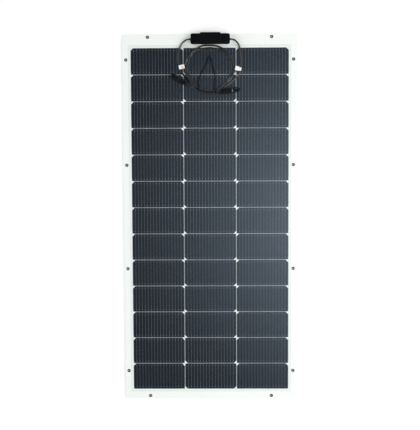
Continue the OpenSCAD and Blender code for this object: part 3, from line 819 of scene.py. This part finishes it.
def makeLid():
    (x0, x1), (y0, y1) = box["x"], box["y"]
    z = box["lidZ"]
    plate = roundedBlock("boxLid", (x0, y0, z), (x1, y1, z + 2), box["corner"], 0)
    pick(plate, "FACE", lambda centre, n: n.z > 0.9)
    bpy.ops.mesh.inset(thickness=1.2 * mm)
    bpy.ops.mesh.extrude_region_move(TRANSFORM_OT_translate={"value": (0, 0, 0.6 * mm)})
    leave()
    tab = roundedBlock("tab", (box["tab"][0], y0 + 1.5, z + 0.02),
                       (box["tab"][1], y1 + box["tabOut"], box["lidTop"]), 1.8, 0.7, 4)
    pick(tab, "FACE", lambda centre, n: n.z > 0.95)
    bpy.ops.mesh.inset(thickness=1.6 * mm)
    bpy.ops.mesh.inset(thickness=0.35 * mm)
    bpy.ops.transform.translate(value=(0, 0, -0.3 * mm))
    leave()
    rib = roundedBlock("rib", (58, 617, z + 1.5), (61, 637, box["lidTop"]), 1.2, 0.4, 3)
    grooves = [block("groove", (x - 1, 620, z + 1.7), (x + 1, 634, z + 6)) for x in (-36.5, 41.5)]
    cutAway(plate, join("groove", grooves))
    parts = [plate, tab, rib]
    for x in (-50, 55):              # small snap ears on the front edge
        ear = roundedBlock("ear", (x - 5, y0 - 0.45, z - 2.6), (x + 5, y0 + 0.6, z + 0.8), 0.4, 0.3, 2)
        parts.append(ear)
    lid = join("boxLid", parts)
    bevelCorners(lid, 0.3)
    soften(lid)
    return lid


boxBase = dress(makeBase(), boxLook)
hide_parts("junction_base")
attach(boxBase, "head")
boxLid = dress(makeLid(), lidLook)
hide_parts("junction_lid")
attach(boxLid, "lid")


def makeBead():
    # squeezed-out adhesive round the open sides, fatter at the ends where the leads come out
    (x0, x1), (y0, y1) = box["x"], box["y"]
    bead = roundedBlock("bead", (x0 - 1.2, y0 - 1.2, 2.5), (x1 + 1.2, y1 - 0.1, 3.3), 7.5, 0)
    for up in (1, -1):
        pick(bead, "FACE", lambda centre, n: n.z * up > 0.9)
        bpy.ops.mesh.inset(thickness=1.15 * mm)
        bpy.ops.mesh.delete(type="FACE")
        leave()
    mend(bead)
    return bead


def makeSealant():
    # a soft rope of silicone pressed along three sides and up the two ends
    (x0, x1), (y0, y1) = box["x"], box["y"]
    corner = 6
    track = [(x0 - 0.2, y1 - 1.8), (x0 - 0.3, y1 - 12), (x0 - 0.2, y0 + corner)]
    for k in range(1, 6):
        a = math.radians(180 + 90 * k / 6)
        track.append((x0 + corner + (corner + 0.3) * math.cos(a), y0 + corner + (corner + 0.3) * math.sin(a)))
    track += [(x0 + (x1 - x0) * k / 12, y0 - 0.3) for k in range(1, 12)]
    for k in range(1, 6):
        a = math.radians(270 + 90 * k / 6)
        track.append((x1 - corner + (corner + 0.3) * math.cos(a), y0 + corner + (corner + 0.3) * math.sin(a)))
    track += [(x1 + 0.2, y0 + corner), (x1 + 0.3, y1 - 12), (x1 + 0.2, y1 - 1.8)]
    rope = drawLine("sealant", [(x, y, 3.3) for x, y in track])
    rope.data.bevel_depth = 1.35 * mm
    rope.data.bevel_resolution = 3
    rope.data.use_fill_caps = True
    for n, point in enumerate(rope.data.splines[0].points):
        atBoxEnd = n < 3 or n > len(track) - 4
        point.radius = 0.72 + 0.10 * math.sin(n * 2.1) + (0.42 if atBoxEnd else 0)
    rope = toMesh(rope)
    blobs = []
    for x, y, r, tall in ((x0 - 0.9, 618, 3.0, 4.2), (x0 - 0.7, 634.5, 2.6, 3.4), (x1 + 0.9, 618.5, 2.9, 4.0),
                          (x1 + 0.7, 634, 2.7, 3.6)):
        clearSelection()
        bpy.ops.mesh.primitive_uv_sphere_add(segments=20, ring_count=10, radius=1 * mm,
                                             location=(x * mm, y * mm, 3.1 * mm),
                                             scale=(2.0, r * 1.5, tall / 1.6))
        blobs.append(settle("blob"))
    ropeAndBlobs = join("sealant", [rope] + blobs)
    applyModifier(ropeAndBlobs, "REMESH", mode="VOXEL", voxel_size=0.4 * mm)
    applyModifier(ropeAndBlobs, "SMOOTH", factor=0.8, iterations=4)
    pick(ropeAndBlobs, "VERT", lambda co: co.z < 2.52)
    bpy.ops.transform.resize(value=(1, 1, 0), center_override=(0, 0, 2.52 * mm))
    leave()
    bead = makeBead()
    whole = join("sealant", [ropeAndBlobs, bead])
    soften(whole, 60)
    return whole


sealant = dress(makeSealant(), sealantLook)
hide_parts("sealant_bead")
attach(sealant, "head")


def makeGland(name, side):
    # a ribbed rubber sleeve that tapers off along the lead
    inner = 2.95
    profile = [(-3, inner), (-3, 4), (0, 4), (0, 3.8), (0.9, 3.78), (1.1, 3.5), (1.4, 3.5), (1.6, 3.7),
               (2.3, 3.62), (2.5, 3.35), (2.8, 3.35), (3, 3.55), (3.8, 3.45), (4, 3.3), (4, inner)]
    piece = turned(name, profile, 36)
    openBore(piece, ringOf(inner))
    soften(piece, 30)
    x = box["x"][1] if side > 0 else box["x"][0]
    lay(piece, (x, box["leadY"], boxZ), 0 if side > 0 else 180)
    return piece


for name, side, node in (("leftGland", -1, "left_gland"), ("rightGland", 1, "right_gland")):
    gland = dress(makeGland(name, side), rubberLook)
    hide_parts(node)
    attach(gland, "head")
print("junction box built")

# Distances along each connector are from the back of its nut
connector = {
    "nutRadius": 7.6, "bore": 3.05, "socketMouth": 64, "plugNose": 76, "noseRadius": 4.3,
    "latchStart": 46.3, "latchLength": 25, "latchSide": 7.4,
}


def ribs(count, radius, start, end, width, height, first=0):
    # one rib, then copies turned about the axis
    rib = roundedBlock("rib", (radius - 0.6, -width / 2, start), (radius + height, width / 2, end),
                       0.35, 0.3, 2)
    copies = [copyOf(rib, Matrix.Rotation(math.radians(first + 360 * k / count), 4, "Z"))
              for k in range(count)]
    bpy.data.objects.remove(rib)
    return copies


def makeNut(name):
    r = connector["nutRadius"]
    inner = leads["radius"] + 0.3
    shell = turned("shell", [(0, inner), (0, 5.0), (0.6, 5.6), (2.5, 6.1), (5.6, 7.1), (6.2, r),
                             (19.4, r), (20, r - 0.5), (20, 6.4), (3, 6.4), (3, inner)], 48)
    openBore(shell, ringOf(inner))
    return join(name, [shell] + ribs(12, r, 7, 18.6, 1.7, 0.55))


def makeSocketBody():
    mouth, bore = connector["socketMouth"], connector["bore"]
    profile = [(11.4, bore), (11.4, 6.25), (20.4, 6.25), (20.4, 8.7), (20.9, 9.2), (23.9, 9.2),
               (24.4, 8.7), (24.6, 8.2), (33.6, 8.2), (34.4, 9.0), (35.2, 9.4), (43, 9.4), (43.3, 9.1),
               (44.3, 9.1), (44.6, 9.4), (58, 9.4), (58.3, 9.0), (59.3, 9.0), (59.6, 9.4),
               (mouth - 0.7, 9.4), (mouth, 8.8), (mouth, 6.5), (mouth - 0.5, 6.0), (38, 6.0), (38, bore)]
    shell = turned("shell", profile, 56)
    openBore(shell, ringOf(bore))
    windows = [block("window", (-2.5, s * 8 - 3, 50), (2.5, s * 8 + 3, 56)) for s in (-1, 1)]
    cutAway(shell, join("window", windows))
    return join("socketBody", [shell] + ribs(10, 8.2, 25.4, 33, 1.5, 0.7, 18))


def makePlugBody():
    nose, r, bore = connector["plugNose"], connector["noseRadius"], connector["bore"]
    front = connector["latchStart"] - 0.3
    profile = [(11.4, bore), (11.4, 6.25), (20.4, 6.25), (20.4, 8.7), (20.9, 9.2), (23.9, 9.2),
               (24.4, 8.7), (24.6, 8.4), (30, 8.4), (30.6, 9.1), (31.2, 9.5), (37.5, 9.5), (37.8, 9.2),
               (38.8, 9.2), (39.1, 9.5), (front - 0.6, 9.5), (front, 8.9), (front, r + 0.6),
               (front + 0.4, r), (nose - 1, r), (nose, r - 0.7), (nose, bore)]
    shell = turned("shell", profile, 56)
    openBore(shell, ringOf(bore))
    return join("plugBody", [shell] + ribs(10, 8.4, 25.2, 29.6, 1.5, 0.7, 18))


def makeLatch(name, side):
    # a springy arm with a thicker root, and a hook whose lead-in slopes towards the tip
    z, long, y = connector["latchStart"], connector["latchLength"], connector["latchSide"]
    arm = block("arm", (-2.4, y - 0.9, z), (2.4, y + 0.9, z + long))
    cutLines(arm, [z + 2.2, z + 17, z + 22], axis=2)
    pick(arm, "FACE", lambda centre, n: z + 17 < centre.z < z + 22 and n.y > 0.9)
    bpy.ops.mesh.extrude_region_move(TRANSFORM_OT_translate={"value": (0, 1.15 * mm, 0)})
    leave()
    pick(arm, "VERT", lambda co: abs(co.z - (z + 22)) < 0.01 and co.y > y + 1.2)
    bpy.ops.transform.translate(value=(0, -0.8 * mm, 0))
    leave()
    pick(arm, "VERT", lambda co: abs(co.z - (z + long)) < 0.01)
    bpy.ops.transform.resize(value=(0.8, 0.75, 1), center_override=(0, y * mm, (z + long) * mm))
    leave()
    bevelCorners(arm, 0.22, 40)
    if side < 0:
        arm.data.transform(Matrix.Scale(-1, 4, (0, 1, 0)))
    mend(arm, 0.0005)
    arm.name = name
    return arm


connectorPieces = {
    "socket": [(makeSocketBody(), "head", "socket_housing"),
               (makeNut("socketNut"), "socket_nut", "socket_nut")],
    "plug": [(makePlugBody(), "head", "plug_housing"), (makeNut("plugNut"), "plug_nut", "plug_nut"),
             (makeLatch("innerLatch", 1), "latch_inner", "latch_inner"),
             (makeLatch("outerLatch", -1), "latch_outer", "latch_outer")],
}
for kind, pieces in connectorPieces.items():
    for piece, body, node in pieces:
        lay(piece, leads[kind + "At"], leads[kind + "Turn"])
        soften(piece, 32)
        dress(piece, connectorLook)
        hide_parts(node)
        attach(piece, body)
socketParts = [piece for piece, body, node in connectorPieces["socket"]]
plugParts = [piece for piece, body, node in connectorPieces["plug"]]
print("connectors built")

# Blank marker flags, each folded round a lead
markers = {
    "left": {"at": (-104.1, 529.6, 6), "turn": 13, "leaf": 17, "length": 13.6, "wrap": 13.6,
             "skew": 0, "curl": 1.2},
    "right": {"at": (106.9, 522.4, 6), "turn": 169.9, "leaf": 18, "length": 15, "wrap": 11.5,
              "skew": -1.5, "curl": 4.5},
}


def makeMarker(name, facts):
    # a film wrapped round the lead, its two ends stuck together as a leaf
    r = leads["radius"] + 0.45
    clearSelection()
    bpy.ops.mesh.primitive_cylinder_add(vertices=40, radius=(r + 0.22) * mm, depth=facts["wrap"] * mm,
                                        end_fill_type="NOTHING", rotation=(math.pi / 2, 0, 0))
    collar = settle("collar")
    applyModifier(collar, "SOLIDIFY", thickness=0.22 * mm, offset=-1)
    half = facts["length"] / 2
    leaf = block("leaf", (0, -half, r - 0.15), (facts["leaf"], half, r + 0.22))
    cutLines(leaf, [facts["leaf"] * k / 8 for k in range(1, 8)], axis=0)
    cutLines(leaf, [-half * 0.5, 0, half * 0.5], axis=1)
    # the leaf droops a little, lifts at its outer edge and narrows to the wrap
    for vertex in leaf.data.vertices:
        u = vertex.co.x / (facts["leaf"] * mm)
        v = vertex.co.y / (half * mm)
        vertex.co.z += (facts["curl"] * (u ** 2) * (0.35 + 0.25 * v) - 1.4 * math.sin(u * math.pi) * 0.5) * mm
        narrow = facts["wrap"] / facts["length"]
        vertex.co.y *= narrow + (1 - narrow) * min(1, u * 2.5)
        vertex.co.y += facts["skew"] * u * mm
    piece = join(name, [collar, leaf])
    piece.data.transform(Matrix.Translation(Vector(facts["at"]) * mm)
                         @ Matrix.Rotation(math.radians(facts["turn"]), 4, "Z"))
    soften(piece, 40)
    return piece


leftMarker = dress(makeMarker("leftMarker", markers["left"]), leftMarkerLook)
rightMarker = dress(makeMarker("rightMarker", markers["right"]), rightMarkerLook)
for piece, node in ((leftMarker, "left_tag"), (rightMarker, "right_tag")):
    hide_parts(node)
    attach(piece, "head")

ties = {
    "left": {"angle": 240, "lanes": (85.8, 79.8, 85.6, 79.8),
             "tail": [(-37.4, 460.2), (-39.6, 480), (-33.8, 500), (-21.6, 522.8), (-11.4, 541.3),
                      (-2.4, 569)]},
    "right": {"angle": 284, "lanes": (82.8, 77, 87.3, 80.6),
              "tail": [(17.4, 455.1), (19, 482), (17.6, 508.7), (13.9, 520.5), (10.2, 536), (1.4, 570)]},
}


strap = {"width": 2.6, "thick": 1.0, "gap": 0.27, "tailWidth": 2.47, "tailThick": 0.9, "tailZ": 9.6}


def bundleOutline(lanes, r):
    # the outline of a band pulled tight round four round strands
    circles = [(lanes[k], tied if k < 2 else stacked) for k in range(4)]
    points = [(x + r * math.cos(2 * math.pi * n / 48), z + r * math.sin(2 * math.pi * n / 48))
              for x, z in circles for n in range(48)]
    points = sorted(set((round(x, 4), round(z, 4)) for x, z in points))

    def half(run):
        kept = []
        for p in run:
            while len(kept) > 1 and ((kept[-1][0] - kept[-2][0]) * (p[1] - kept[-2][1])
                                     - (kept[-1][1] - kept[-2][1]) * (p[0] - kept[-2][0])) <= 0:
                kept.pop()
            kept.append(p)
        return kept[:-1]
    return half(points) + half(points[::-1])


def makeBand(facts):
    # a ring shaped to the bundle, made as wide as the strap and then thickened
    outline = bundleOutline(facts["lanes"], leads["radius"] + strap["gap"] + strap["thick"] / 2)
    clearSelection()
    bpy.ops.mesh.primitive_circle_add(vertices=len(outline), radius=1 * mm)
    band = settle("band")
    for vertex, (x, z) in zip(band.data.vertices, outline):
        vertex.co = (x * mm, -strap["width"] / 2 * mm, z * mm)
    pick(band, "EDGE", lambda a, b: True)
    bpy.ops.mesh.extrude_region_move(TRANSFORM_OT_translate={"value": (0, strap["width"] * mm, 0)})
    leave()
    applyModifier(band, "SOLIDIFY", thickness=strap["thick"] * mm, offset=0)
    mend(band, 0.0005)
    return band


def makeTail(points):
    # the strap's free end, a flat ribbon that lies on the coil
    climbing = [(x, y, strap["tailZ"] + 0.1 * k) for k, (x, y) in enumerate(points)]
    line = drawLine("tail", smoothLine(climbing, 6))
    line.data.twist_mode = "Z_UP"
    line.data.extrude = strap["tailWidth"] / 2 * mm
    for point in line.data.splines[0].points:
        point.tilt = math.pi / 2
    tail = toMesh(line)
    applyModifier(tail, "SOLIDIFY", thickness=strap["tailThick"] * mm, offset=0)
    return tail


def makeTie(name, facts):
    # the band, the head with its slot's lip, and the tail
    headX = facts["lanes"][1] - 5.0
    head = roundedBlock("head", (headX - 1.6, -2.2, 5.1), (headX + 1.6, 2.2, 10.1), 0.5, 0.5, 3)
    lip = roundedBlock("lip", (headX - 1.1, -1.7, 10.0), (headX + 1.1, 1.7, 10.5), 0.3, 0.2, 2)
    band = makeBand(facts)
    for part in (band, head, lip):
        part.data.transform(shift(*leads["coil"]) @ Matrix.Rotation(math.radians(facts["angle"]), 4, "Z"))
    whole = join(name, [band, head, lip, makeTail(facts["tail"])])
    soften(whole, 35)
    return whole


leftTie = dress(makeTie("leftTie", ties["left"]), tieLook)
rightTie = dress(makeTie("rightTie", ties["right"]), tieLook)
for piece, node in ((leftTie, "left_tie"), (rightTie, "right_tie")):
    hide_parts(node)
    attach(piece, "head")
print("markers and ties placed")

# Each lead gets its jacket finish and rides on the head
for piece, route, group, names, marker, tie, node in (
        (leftLead, leftRoute, plugParts, ("plug_seal", "plug_contact", "plug_ring"),
         leftMarker, leftTie, "left_lead"),
        (rightLead, rightRoute, socketParts, ("socket_seal", "socket_contact"),
         rightMarker, rightTie, "right_lead")):
    dress(piece, jacketLook)
    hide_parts(node)
    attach(piece, "head")

# The inner pieces keep their CAD shape and only get a finish
innerLooks = {
    "top_bus": wireLook, "bottom_bus": wireLook, "terminals": wireLook, "potting": pottingLook,
    "bypass_diodes": diodeLook, "lid_gasket": rubberLook, "socket_seal": rubberLook, "plug_seal": rubberLook,
    "socket_contact": wireLook, "plug_contact": wireLook, "plug_ring": ringLook,
}
for name, look in innerLooks.items():
    nodes[name].data.materials.clear()
    nodes[name].data.materials.append(look)

# A matt pale floor
floorLook, shader = startLook("paleFloor", Roughness=0.8)
cloud = addNode(floorLook, "TexNoise", addNode(floorLook, "TexCoord", out="Object"), 1000 / 900, 2,
                **blotches)
plug(floorLook, addNode(floorLook, "Mix", cloud, tone("#f8f8f7"), tone("#fcfcfb"), **twoTones),
     shader.inputs["Base Color"])
clearSelection()
bpy.ops.mesh.primitive_plane_add(size=14, location=(0, 0, -0.0004))
floor = settle("floor")
floor.data.materials.append(floorLook)

# One tall soft light to the right
keyLight = {"place": (1.75, -0.3, 2.35), "aim": (0, 0.1, 0), "size": (0.5, 3.0), "power": 44}
clearSelection()
aim = Vector(keyLight["aim"]) - Vector(keyLight["place"])
bpy.ops.object.light_add(type="AREA", location=keyLight["place"],
                         rotation=aim.to_track_quat("-Z", "Y").to_euler())
lamp = bpy.context.object
lamp.name = "key"
lamp.data.shape = "RECTANGLE"
lamp.data.size, lamp.data.size_y = keyLight["size"]
lamp.data.energy = keyLight["power"]

# a white room with brighter side walls and a dark ceiling, so that the face mirrors little from above
room = {"ceiling": 0.02, "walls": 2.25, "sides": 2.2, "tint": (0.97, 0.985, 1, 1)}
world = bpy.data.worlds.new("studio")
world.use_nodes = True
direction = addNode(world, "TexCoord", out="Generated")
facing = addNode(world, "SeparateXYZ", direction).node.outputs
across = addNode(world, "Math", 1.0, addNode(world, "Math", facing[2], facing[2], operation="MULTIPLY"),
                 operation="SUBTRACT")
glow = addNode(world, "Math", addNode(world, "Math", across, 3.0, operation="POWER"), room["walls"],
               room["ceiling"], operation="MULTIPLY_ADD")
toSides = addNode(world, "Math", addNode(world, "Math", facing[0], operation="ABSOLUTE"), 4.0,
                  operation="POWER")
glow = addNode(world, "Math", toSides, room["sides"], glow, operation="MULTIPLY_ADD")
plug(world, glow, world.node_tree.nodes["Background"].inputs["Strength"])
world.node_tree.nodes["Background"].inputs["Color"].default_value = room["tint"]
bpy.context.scene.world = world
bpy.context.scene.view_settings.view_transform = "Standard"
print("light set")
